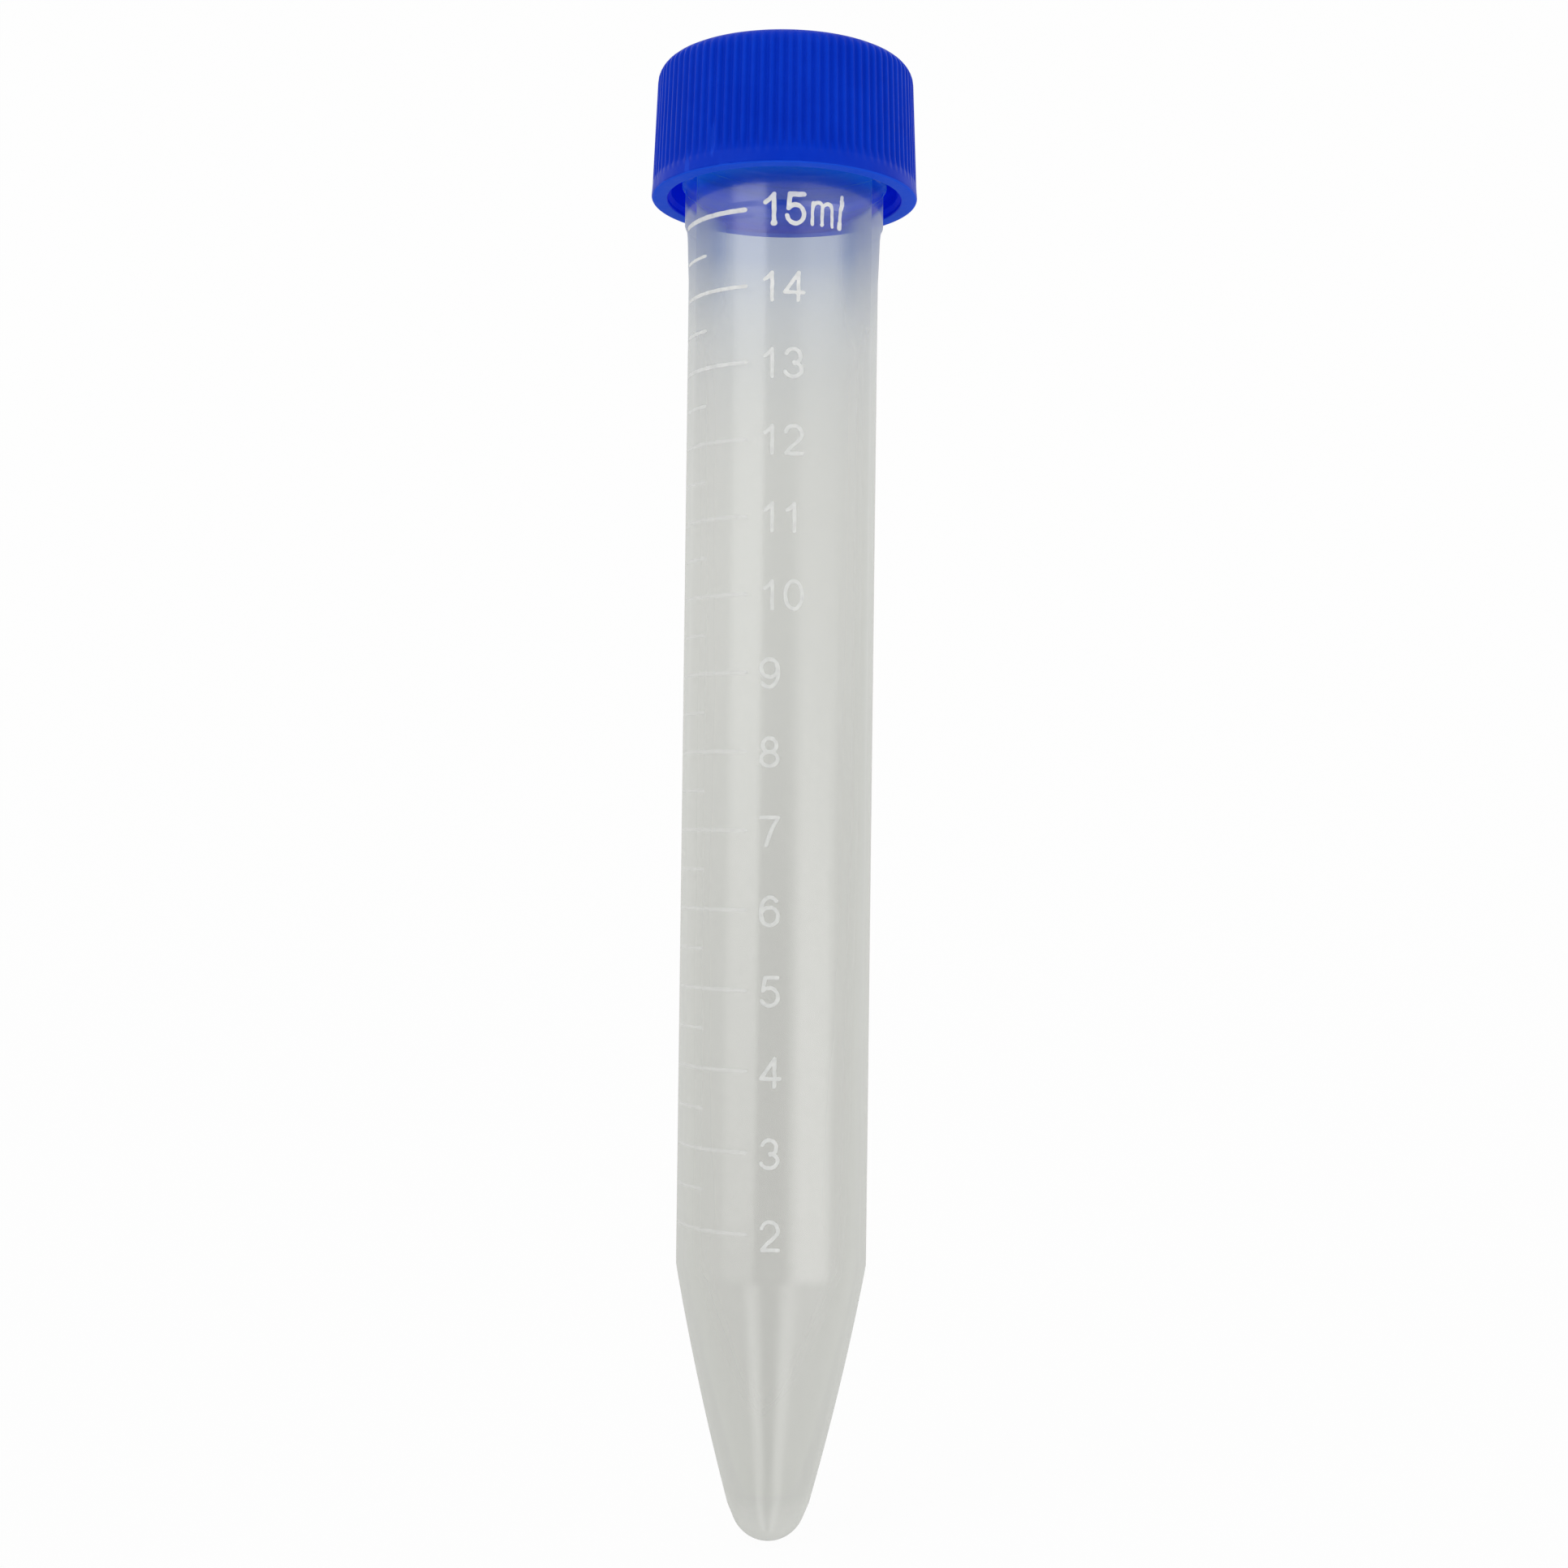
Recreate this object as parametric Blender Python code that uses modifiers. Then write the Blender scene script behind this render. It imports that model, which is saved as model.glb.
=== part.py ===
"""Screw-cap conical centrifuge tube, 15 ml size: tube body, screw cap and the cap's soft liner.
Metres, +Z up. The tip of the tube is at the origin and the tube stands upright on the Z axis."""
from math import atan2, cos, hypot, pi, radians, sin, tau

import bmesh
import bpy

MM = 0.001                # all dimensions below are in millimetres, angles in degrees
TURNED_STEPS = 64

# ---- tube body, from the tip up ----
WALL_TIP = 1.3            # the wall thins from the tip to the mouth
WALL_SHOULDER = 0.75
WALL_TOP = 0.57
TIP_R = 3.1               # radius of the rounded tip
TIP_FLOOR = 3.5           # plastic below the cavity
FLOOR_R = 2.75            # radius of the cavity's rounded floor
CONE_BOTTOM_Z = 3.08      # where the rounded tip becomes the cone
CONE_BOTTOM_R = 3.35
CONE_TOP_Z = 21.8
CONE_TOP_R = 7.66
CONE_BULGE = 0.21         # the cone's side is very slightly full, most at half its height
CONE_STEPS = 5
CAVITY_RAISE = 0.15       # cavity's cone and shoulder sit this much above the outer ones
SHOULDER_Z = 22.45        # where the rounded shoulder becomes the barrel
SHOULDER_R = 7.78
BARREL_TOP_Z = 103.4      # where the barrel starts to swell towards the neck
BARREL_TOP_R = 7.83
SWELL_Z = 107.0           # top of the swell, below the step to the neck
SWELL_R = 7.96
NECK_Z = 107.85           # full neck radius from here up
NECK_R = 8.21
BEAD_Z = 111.2            # small ring moulded round the neck
BEAD_R = 8.48
MOUTH_Z = 118.2
MOUTH_R = 7.95
MOUTH_BAND_BOTTOM = 1.1   # the narrower band at the mouth ends this far down
NECK_STEP_BOTTOM = 1.5    # and the full neck starts this far down
BORE_WIDENING = 0.04      # the bore widens this much from the barrel top to the mouth chamfer
MOUTH_FLARE_R = 0.20      # inner chamfer's outer edge, measured from the bore at the barrel top
MOUTH_FLARE_DEPTH = 0.35
MOUTH_EDGE_WIDTH = 0.15   # outer chamfer
MOUTH_EDGE_DEPTH = 0.2

# ---- threads: one start, right hand ----
LEAD = 3.0
THREAD_TURNS = 1.25
THREAD_STEPS = 40         # per turn
RUN_OUTS_PER_TURN = 7.0   # each end runs out over one seventh of a turn
RUN_OUT_HEIGHT = 0.45     # share of the section left at the very end
THREAD_SINK = 0.3         # how far the section's centre would move if it shrank to nothing
THREAD_Z = 112.7          # the tube's thread starts here, at its lower end
THREAD_R = NECK_R         # centre of its rounded section
THREAD_SECTION = 0.57     # radius of the section
THREAD_ANGLE = 282.0
CAP_THREAD_Z = 112.0
CAP_THREAD_R = 9.42
CAP_THREAD_SECTION = 0.80

# ---- liner ----
LINER_R = 9.05
LINER_T = 1.0
LINER_GAP = 0.3           # to the mouth below and the ceiling above
LINER_EDGE = 0.12         # chamfer

# ---- cap ----
CAP_BOTTOM_Z = 110.0
CAP_BOTTOM_R = 11.0
CAP_BOTTOM_CHAMFER = 0.2
BAND_TOP_Z = 111.15       # plain band below the ribs
BAND_TOP_R = 10.91
RIB_BOTTOM_Z = BAND_TOP_Z + 0.12
CAP_TOP_Z = 121.0
CAP_TOP_R = 10.52         # over the ribs, where the top fillet starts
CAP_FILLET = 1.50
RIB_TOP_Z = CAP_TOP_Z - CAP_FILLET
RIB_COUNT = 90
RIB_DEPTH = 0.22
RIB_MARGIN = 0.05         # tolerance for picking the vertices of the rib zone
CEILING_Z = MOUTH_Z + LINER_GAP + LINER_T + LINER_GAP    # underside of the cap's top
CEILING_CHAMFER = 0.25
BORE_R = 9.35
LIP_R = 9.67              # the bore widens at the rim
LIP_TOP = 0.3             # heights above the cap's bottom: top of the widened part
LIP_TAPER_TOP = 0.55      # and top of the taper above it
BORE_OVERRUN = 1.0        # how far the cutter passes below the cap
SNAP_Z = 118.1            # inner bead that keeps the liner in
SNAP_R = 8.88

# Ring sections: radius, height. Both are listed from the top down.
NECK_BEAD = [(NECK_R, BEAD_Z + 0.5), (BEAD_R, BEAD_Z + 0.2),
             (BEAD_R, BEAD_Z - 0.1), (NECK_R, BEAD_Z - 0.4)]
SNAP_BEAD = [(BORE_R, SNAP_Z + 0.3), (SNAP_R, SNAP_Z + 0.05),
             (SNAP_R, SNAP_Z - 0.1), (BORE_R, SNAP_Z - 0.45)]


def material(name, colour, roughness, alpha=1.0):
    mat = bpy.data.materials.new(name)
    mat.use_nodes = True
    inputs = mat.node_tree.nodes["Principled BSDF"].inputs
    inputs["Base Color"].default_value = (*colour, 1.0)
    inputs["Roughness"].default_value = roughness
    inputs["Metallic"].default_value = 0.0
    inputs["Alpha"].default_value = alpha
    mat.diffuse_color = (*colour, alpha)
    return mat


def arc(centre_r, centre_z, radius, start, end, count):
    """Points on an arc of the profile; angles in degrees, from +X towards +Z."""
    angles = [radians(start + (end - start) * i / count) for i in range(count + 1)]
    return [(centre_r + radius * cos(angle), centre_z + radius * sin(angle)) for angle in angles]


def cone(wall_bottom=0.0, wall_top=0.0):
    """The full-sided cone from bottom to top, moved in by a wall that changes evenly."""
    points = []
    for i in range(CONE_STEPS + 1):
        rise = i / CONE_STEPS
        bulge = CONE_BULGE * 4.0 * rise * (1.0 - rise)
        radius = CONE_BOTTOM_R + (CONE_TOP_R - CONE_BOTTOM_R) * rise + bulge
        wall = wall_bottom + (wall_top - wall_bottom) * rise
        points.append((radius - wall, CONE_BOTTOM_Z + (CONE_TOP_Z - CONE_BOTTOM_Z) * rise))
    return points


def turned(name, profile, steps, collection):
    """(radius, height) points in millimetres, turned about Z with a Screw modifier."""
    mesh = bpy.data.meshes.new(name)
    edges = [(i, i + 1) for i in range(len(profile) - 1)]
    mesh.from_pydata([(radius * MM, 0.0, z * MM) for radius, z in profile], edges, [])
    obj = bpy.data.objects.new(name, mesh)
    collection.objects.link(obj)
    screw = obj.modifiers.new("turn", 'SCREW')
    screw.axis = 'Z'
    screw.angle = tau
    screw.steps = steps
    screw.render_steps = steps
    screw.use_merge_vertices = True
    screw.merge_threshold = 0.00005
    screw.use_smooth_shade = True
    return obj


def hide_tool(obj):
    obj.display_type = 'WIRE'
    obj.hide_render = True


def baked(obj, name):
    """Remove the object and return its evaluated mesh."""
    bpy.context.view_layer.update()
    depsgraph = bpy.context.evaluated_depsgraph_get()
    mesh = bpy.data.meshes.new_from_object(obj.evaluated_get(depsgraph))
    mesh.name = name
    bpy.data.objects.remove(obj, do_unlink=True)
    return mesh


def thread(name, centre_r, section, start_z, start_angle, sink):
    """A rounded thread: a bevelled helix that shrinks and sinks into its wall at each end.
    A negative sink moves the section towards the axis."""
    count = int(round(THREAD_TURNS * THREAD_STEPS))
    curve = bpy.data.curves.new(name, 'CURVE')
    curve.dimensions = '3D'
    curve.bevel_depth = section * MM
    curve.bevel_resolution = 2
    curve.use_fill_caps = True
    spline = curve.splines.new('POLY')
    spline.points.add(count)
    for i, point in enumerate(spline.points):
        along = i / count
        angle = radians(start_angle) + tau * THREAD_TURNS * along
        run_out = min(1.0, min(along, 1.0 - along) * THREAD_TURNS * RUN_OUTS_PER_TURN)
        height = RUN_OUT_HEIGHT + (1.0 - RUN_OUT_HEIGHT) * sin(0.5 * pi * run_out)
        radius = centre_r + sink * (1.0 - height)
        z = start_z + LEAD * THREAD_TURNS * along
        point.co = (radius * MM * cos(angle), radius * MM * sin(angle), z * MM, 1.0)
        point.radius = height
    path = bpy.data.objects.new(name + "_path", curve)
    tools.objects.link(path)
    mesh = baked(path, name)

    # weld the end caps to the swept surface, so that the thread is one closed solid
    bm = bmesh.new()
    bm.from_mesh(mesh)
    bmesh.ops.remove_doubles(bm, verts=bm.verts, dist=1e-7)
    bmesh.ops.recalc_face_normals(bm, faces=bm.faces)
    bm.to_mesh(mesh)
    bm.free()
    solid = bpy.data.objects.new(name, mesh)
    tools.objects.link(solid)
    hide_tool(solid)
    return solid


def boolean(obj, other, operation):
    mod = obj.modifiers.new(other.name, 'BOOLEAN')
    mod.operation = operation
    mod.solver = 'EXACT'
    mod.object = other


def tube_profile():
    """Cavity from its floor up to the mouth, over the rim, then down the outside to the tip."""
    bore_top = BARREL_TOP_R - WALL_TOP
    floor_top = TIP_FLOOR + FLOOR_R
    cavity_cone = [(radius, z + CAVITY_RAISE)
                   for radius, z in cone(WALL_TIP, WALL_SHOULDER) if z > floor_top]
    return [
        (0.0, TIP_FLOOR),
        *arc(0.0, floor_top, FLOOR_R, start=-62, end=-14, count=3),
        *cavity_cone,
        (SHOULDER_R - WALL_SHOULDER, SHOULDER_Z + CAVITY_RAISE),
        (bore_top, BARREL_TOP_Z),
        (bore_top + BORE_WIDENING, MOUTH_Z - MOUTH_FLARE_DEPTH),
        (bore_top + MOUTH_FLARE_R, MOUTH_Z),
        (MOUTH_R - MOUTH_EDGE_WIDTH, MOUTH_Z),
        (MOUTH_R, MOUTH_Z - MOUTH_EDGE_DEPTH),
        (MOUTH_R, MOUTH_Z - MOUTH_BAND_BOTTOM),
        (NECK_R, MOUTH_Z - NECK_STEP_BOTTOM),
        *NECK_BEAD,
        (NECK_R, NECK_Z),
        (SWELL_R, SWELL_Z),
        (BARREL_TOP_R, BARREL_TOP_Z),
        (SHOULDER_R, SHOULDER_Z),
        *reversed(cone()),
        *arc(0.0, TIP_R, TIP_R, start=-25, end=-90, count=5)[:-1],
        (0.0, 0.0),    # the arc's last point, exactly on the axis
    ]


def build_tube():
    tube = turned("tube", tube_profile(), TURNED_STEPS, parts)
    tube.data.materials.append(material("natural_polypropylene", colour=(0.58, 0.61, 0.63),
                                        roughness=0.32, alpha=0.45))
    helix = thread("tube_thread", THREAD_R, THREAD_SECTION, THREAD_Z, THREAD_ANGLE, -THREAD_SINK)
    boolean(tube, helix, 'UNION')
    return tube


def ribbed_blank():
    """The solid cap, turned, with every second column of its rib zone drawn in."""
    profile = [
        (0.0, CAP_TOP_Z),
        *arc(CAP_TOP_R - CAP_FILLET, RIB_TOP_Z, CAP_FILLET, start=90, end=0, count=4),
        (BAND_TOP_R, RIB_BOTTOM_Z),
        (BAND_TOP_R, BAND_TOP_Z),
        (CAP_BOTTOM_R, CAP_BOTTOM_Z + CAP_BOTTOM_CHAMFER),
        (CAP_BOTTOM_R - CAP_BOTTOM_CHAMFER, CAP_BOTTOM_Z),
        (0.0, CAP_BOTTOM_Z),
    ]
    mesh = baked(turned("cap_blank", profile, 2 * RIB_COUNT, tools), "screw_cap")
    low = (RIB_BOTTOM_Z - RIB_MARGIN) * MM
    high = (RIB_TOP_Z + RIB_MARGIN) * MM
    for vertex in mesh.vertices:
        x, y, z = vertex.co
        column = int(round(atan2(y, x) / (pi / RIB_COUNT)))
        if low < z < high and column % 2:
            radius = hypot(x, y)
            scale = (radius - RIB_DEPTH * MM) / radius
            vertex.co.x *= scale
            vertex.co.y *= scale
    return mesh


def cap_bore():
    bottom = CAP_BOTTOM_Z - BORE_OVERRUN
    profile = [
        (0.0, CEILING_Z),
        (BORE_R - CEILING_CHAMFER, CEILING_Z),
        (BORE_R, CEILING_Z - CEILING_CHAMFER),
        *SNAP_BEAD,
        (BORE_R, CAP_BOTTOM_Z + LIP_TAPER_TOP),
        (LIP_R, CAP_BOTTOM_Z + LIP_TOP),
        (LIP_R, bottom),
        (0.0, bottom),
    ]
    bore = turned("cap_bore", profile, TURNED_STEPS, tools)
    hide_tool(bore)
    return bore


def build_cap():
    mesh = ribbed_blank()
    mesh.materials.append(material("blue_polyethylene", colour=(0.004, 0.036, 0.50),
                                   roughness=0.42))
    cap = bpy.data.objects.new("screw_cap", mesh)
    parts.objects.link(cap)
    boolean(cap, cap_bore(), 'DIFFERENCE')
    # its thread runs half a lead below the tube's, so the flanks stay apart at every turn
    angle = THREAD_ANGLE + 360.0 * (CAP_THREAD_Z - (THREAD_Z - 0.5 * LEAD)) / LEAD
    helix = thread("cap_thread", CAP_THREAD_R, CAP_THREAD_SECTION, CAP_THREAD_Z, angle,
                   THREAD_SINK)
    boolean(cap, helix, 'UNION')
    return cap


def build_liner():
    """A soft disc between the mouth and the cap's top."""
    centre_z = MOUTH_Z + LINER_GAP + 0.5 * LINER_T
    bpy.ops.mesh.primitive_cylinder_add(vertices=TURNED_STEPS, radius=LINER_R * MM,
                                        depth=LINER_T * MM, location=(0.0, 0.0, centre_z * MM))
    liner = bpy.context.object
    liner.name = "seal_liner"
    liner.data.name = "seal_liner"
    liner.data.materials.append(material("white_liner", colour=(0.78, 0.78, 0.76),
                                         roughness=0.6))
    for collection in list(liner.users_collection):
        collection.objects.unlink(liner)
    parts.objects.link(liner)
    edge = liner.modifiers.new("soft_edge", 'BEVEL')
    edge.width = LINER_EDGE * MM
    edge.segments = 1
    edge.limit_method = 'ANGLE'
    edge.angle_limit = radians(40.0)
    return liner


for old in list(bpy.data.objects):
    bpy.data.objects.remove(old, do_unlink=True)

parts = bpy.data.collections.new("test_tube")
tools = bpy.data.collections.new("cutters")
for group in (parts, tools):
    bpy.context.scene.collection.children.link(group)

for piece in (build_tube(), build_cap(), build_liner()):
    piece.data.shade_smooth()
    piece.data.set_sharp_from_angle(angle=radians(35.0))
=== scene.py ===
"""Looks of a 15 ml screw-cap tube: turned and threaded meshes, a printed volume scale,
moulded-plastic materials and a plain pale studio. The tube stands on its tip with its axis on z,
and its scale faces the camera at -y. Lengths are millimetres unless multiplied by MM."""
import math

import bmesh
import bpy
import numpy as np
from mathutils import Matrix, Vector


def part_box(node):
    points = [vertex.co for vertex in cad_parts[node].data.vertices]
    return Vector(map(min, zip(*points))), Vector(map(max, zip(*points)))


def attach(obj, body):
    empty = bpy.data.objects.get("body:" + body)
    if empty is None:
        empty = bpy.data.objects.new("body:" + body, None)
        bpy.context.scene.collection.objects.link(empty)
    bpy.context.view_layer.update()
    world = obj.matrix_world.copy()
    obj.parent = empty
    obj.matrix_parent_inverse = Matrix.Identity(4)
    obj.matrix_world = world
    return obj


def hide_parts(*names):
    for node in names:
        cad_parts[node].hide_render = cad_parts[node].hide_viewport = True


MM = 0.001
TO_MM = 1.0 / MM
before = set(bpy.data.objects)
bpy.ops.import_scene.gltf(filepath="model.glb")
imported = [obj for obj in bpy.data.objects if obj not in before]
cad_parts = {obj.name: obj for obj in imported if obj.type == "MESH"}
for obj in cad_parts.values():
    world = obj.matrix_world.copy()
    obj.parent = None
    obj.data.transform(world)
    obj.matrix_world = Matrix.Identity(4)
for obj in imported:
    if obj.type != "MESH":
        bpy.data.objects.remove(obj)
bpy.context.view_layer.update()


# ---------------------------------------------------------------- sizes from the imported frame
def box_mm(piece):
    return [np.array(corner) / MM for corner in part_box(piece)]


tube_low, tube_high = box_mm("tube")
cap_low, cap_high = box_mm("screw_cap")
liner_low, liner_high = box_mm("seal_liner")

TIP = float(tube_low[2])
MOUTH = float(tube_high[2])
CAP_BOTTOM = float(cap_low[2])
CAP_TOP = float(cap_high[2])
CAP_R = float(0.5 * (cap_high[0] - cap_low[0]))
LINER_BOTTOM = float(liner_low[2])
LINER_TOP = float(liner_high[2])
LINER_R = float(0.5 * (liner_high[0] - liner_low[0]))

# one-start right-hand thread, shared by tube and cap
LEAD = 3.0
THREAD_TURNS = 1.25
THREAD_ANGLE = 282.0                   # degrees at the start of the tube's thread
THREAD_FROM = MOUTH - 5.5
CAP_THREAD_FROM = CAP_BOTTOM + 2.0


# ---------------------------------------------------------------- mesh helpers
def rounded(corners, segments=5):
    """Turns (radius, z, fillet) corners into a smooth run of (radius, z) points."""
    points = []
    for i, (radius, z, fillet) in enumerate(corners):
        corner = np.array([radius, z], float)
        if fillet <= 0 or i in (0, len(corners) - 1):
            points.append(corner)
            continue
        back = np.array(corners[i - 1][:2], float) - corner
        ahead = np.array(corners[i + 1][:2], float) - corner
        back_length, ahead_length = np.linalg.norm(back), np.linalg.norm(ahead)
        back, ahead = back / back_length, ahead / ahead_length
        half = 0.5 * math.acos(max(-1.0, min(1.0, float(back @ ahead))))
        if abs(half - 0.5 * math.pi) < 1e-3:            # a straight run has no corner to round
            points.append(corner)
            continue
        cut = min(fillet / math.tan(half), 0.49 * back_length, 0.49 * ahead_length)
        bend = cut * math.tan(half)
        bisector = (back + ahead) / np.linalg.norm(back + ahead)
        centre = corner + bisector * bend / math.sin(half)
        start, end = corner + back * cut - centre, corner + ahead * cut - centre
        from_angle = math.atan2(start[1], start[0])
        to_angle = math.atan2(end[1], end[0])
        sweep = (to_angle - from_angle + math.pi) % (2 * math.pi) - math.pi
        for k in range(segments + 1):
            angle = from_angle + sweep * k / segments
            points.append(centre + bend * np.array([math.cos(angle), math.sin(angle)]))
    return [(float(point[0]), float(point[1])) for point in points]


def refine(points, step):
    """Adds points so that no span is longer than step (a number, or a function of height)."""
    out = [points[0]]
    for (r0, z0), (r1, z1) in zip(points[:-1], points[1:]):
        longest = step(0.5 * (z0 + z1)) if callable(step) else step
        count = max(1, int(math.ceil(math.hypot(r1 - r0, z1 - z0) / longest)))
        for k in range(1, count + 1):
            out.append((r0 + (r1 - r0) * k / count, z0 + (z1 - z0) * k / count))
    return out


def arc(x, y, half_width, half_height, start, end, steps=20):
    """Points on an elliptical arc about (x, y), between two angles in degrees."""
    angles = [math.radians(start + (end - start) * i / steps) for i in range(steps + 1)]
    return [(x + half_width * math.cos(angle), y + half_height * math.sin(angle))
            for angle in angles]


def link_object(name, data):
    obj = bpy.data.objects.new(name, data)
    bpy.context.scene.collection.objects.link(obj)
    return obj


def turned(name, profile, columns, offset=None, smooth_angle=50.0):
    """A closed turned mesh. profile runs from the axis round the section and back to the axis;
    offset(i, radius, z, angles) gives a radius change for each column of row i."""
    angles = np.arange(columns) * 2.0 * math.pi / columns
    rows, verts = [], []
    for i, (radius, z) in enumerate(profile):
        if radius < 1e-6:
            rows.append([len(verts)])
            verts.append((0.0, 0.0, z))
            continue
        radii = np.full(columns, radius)
        if offset is not None:
            radii = radii + offset(i, radius, z, angles)
        rows.append(list(range(len(verts), len(verts) + columns)))
        verts.extend(zip(radii * np.cos(angles), radii * np.sin(angles), [z] * columns))
    faces = []
    for row, following in zip(rows[:-1], rows[1:]):
        for c in range(columns):
            d = (c + 1) % columns
            if len(row) == 1:
                faces.append((row[0], following[c], following[d]))
            elif len(following) == 1:
                faces.append((row[c], following[0], row[d]))
            else:
                faces.append((row[c], following[c], following[d], row[d]))
    return finish_mesh(name, verts, faces, smooth_angle)


def finish_mesh(name, verts, faces, smooth_angle):
    """Links a solid with outward normals, smooth but for edges over smooth_angle degrees."""
    mesh = bpy.data.meshes.new(name)
    mesh.from_pydata([(x * MM, y * MM, z * MM) for x, y, z in verts], [], faces)
    mesh.update()
    bm = bmesh.new()
    bm.from_mesh(mesh)
    bmesh.ops.recalc_face_normals(bm, faces=bm.faces)
    if bm.calc_volume(signed=True) < 0:
        bmesh.ops.reverse_faces(bm, faces=bm.faces)
    bm.to_mesh(mesh)
    bm.free()
    mesh.shade_smooth()
    mesh.set_sharp_from_angle(angle=math.radians(smooth_angle))
    return link_object(name, mesh)


def smoothstep(start, end, value):
    t = np.clip((value - start) / (end - start), 0.0, 1.0)
    return t * t * (3.0 - 2.0 * t)


def thread_height(z, angles, start_z, start_angle, half_width, crest):
    """How far the thread stands out of its wall at height z: 0 to 1, with tapered run-outs."""
    height = np.zeros_like(angles)
    from_start = np.mod(angles - math.radians(start_angle), 2.0 * math.pi)
    for k in range(-1, int(THREAD_TURNS) + 2):
        turns = (from_start + 2.0 * math.pi * k) / (2.0 * math.pi)
        run_out = 1.0 - smoothstep(THREAD_TURNS - 0.10, THREAD_TURNS + 0.06, turns)
        ends = smoothstep(-0.06, 0.10, turns) * run_out
        section = 1.0 - smoothstep(crest, half_width, np.abs(z - (start_z + LEAD * turns)))
        height = np.maximum(height, section * ends)
    return height


# ---------------------------------------------------------------- tube body
NECK_R, SWELL_R, BARREL_TOP_R, SHOULDER_R = 8.20, 7.96, 7.83, 7.78
BARREL_TOP = TIP + 103.4
SHOULDER = TIP + 22.45                 # where the barrel meets the cone
CONE_TOP, CONE_BOTTOM = TIP + 21.8, TIP + 3.08
CONE_TOP_R, CONE_BOTTOM_R, CONE_BULGE = 7.66, 3.35, 0.21
CONE_STEPS = 16
WALL_TIP, WALL_SHOULDER, WALL_TOP = 1.3, 0.75, 0.59
CAVITY_LIFT = 0.15                     # how far the inner cone sits above the outer one
FLOOR, FLOOR_R = TIP + 3.5, 2.75       # rounded floor of the cavity
TIP_R = 3.1
BORE_SHOULDER_R = SHOULDER_R - WALL_SHOULDER
BORE_TOP_R = BARREL_TOP_R - WALL_TOP
THREAD_FOOT = TIP + 111.75             # the thread fades in above this height
THREAD_DEPTH = 0.58


def cone(wall_bottom=0.0, wall_top=0.0, lift=0.0):
    """The slightly bulging cone, upwards, moved in by the wall."""
    points = []
    for i in range(CONE_STEPS + 1):
        t = i / CONE_STEPS
        radius = CONE_BOTTOM_R + (CONE_TOP_R - CONE_BOTTOM_R) * t + CONE_BULGE * 4.0 * t * (1.0 - t)
        points.append((radius - wall_bottom - (wall_top - wall_bottom) * t,
                       CONE_BOTTOM + (CONE_TOP - CONE_BOTTOM) * t + lift))
    return points


inner = [(0.0, FLOOR)] + arc(0.0, FLOOR + FLOOR_R, FLOOR_R, FLOOR_R, -80, -14, 9)
inner += [point for point in cone(WALL_TIP, WALL_SHOULDER, CAVITY_LIFT)
          if point[1] > FLOOR + FLOOR_R]
inner += [(BORE_SHOULDER_R - 0.02, SHOULDER - CAVITY_LIFT), (BORE_SHOULDER_R, SHOULDER + 0.6)]
cavity = inner + [(BORE_TOP_R, BARREL_TOP)]
# (radius, z, fillet): up the bore, over the mouth, down the neck, its bead and the swell below
lip = rounded([
    (BORE_TOP_R, BARREL_TOP, 0), (BORE_TOP_R + 0.04, MOUTH - 0.35, 0.3),
    (BORE_TOP_R + 0.20, MOUTH, 0.10), (7.92, MOUTH, 0.16),
    (7.95, MOUTH - 1.1, 0.3), (NECK_R, MOUTH - 1.5, 0.3),
    (NECK_R, TIP + 111.72, 0.18), (8.47, TIP + 111.44, 0.12),
    (8.47, TIP + 111.08, 0.12), (NECK_R, TIP + 110.8, 0.18),
    (NECK_R, TIP + 107.82, 0.14), (8.02, TIP + 107.42, 0.35),
    (SWELL_R, TIP + 106.8, 0.8), (7.905, TIP + 105.1, 3.0),
    (BARREL_TOP_R, BARREL_TOP - 0.2, 3.0), (7.822, TIP + 99.0, 0)])
outer = [(SHOULDER_R, SHOULDER + 0.5), (SHOULDER_R - 0.012, SHOULDER)] + cone()[::-1]
outer += arc(0.0, TIP + TIP_R, TIP_R, TIP_R, -25, -90, 12)[:-1] + [(0.0, TIP)]
rim_row = next(i for i, point in enumerate(lip) if point[1] >= MOUTH - 1e-6)
tube_profile = refine(inner, 2.5) + refine([inner[-1]] + lip[:rim_row + 1], 6.0)[1:]
inside_rows = len(tube_profile)
tube_profile += refine(lip[rim_row:], lambda z: 0.13 if z > TIP + 110.5 else 0.4)[1:]
tube_profile += refine([lip[-1], outer[0]], 6.0)[1:] + refine(outer, 1.2)[1:]
# outside of the tube below the bead, upwards
wall_curve = [point for point in reversed(tube_profile[inside_rows:]) if point[1] < TIP + 110.4]


def tube_offset(i, radius, z, angles):
    """The thread on the outside of the neck."""
    if i < inside_rows or radius < 7.9 or z > MOUTH - 0.7 or z < THREAD_FOOT:
        return 0.0
    height = thread_height(z, angles, THREAD_FROM, THREAD_ANGLE, half_width=0.66, crest=0.16)
    return THREAD_DEPTH * height * smoothstep(THREAD_FOOT, TIP + 112.0, z)


tube = turned("tube_shell", tube_profile, 256, tube_offset)
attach(tube, "tube_body")
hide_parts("tube")

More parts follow.
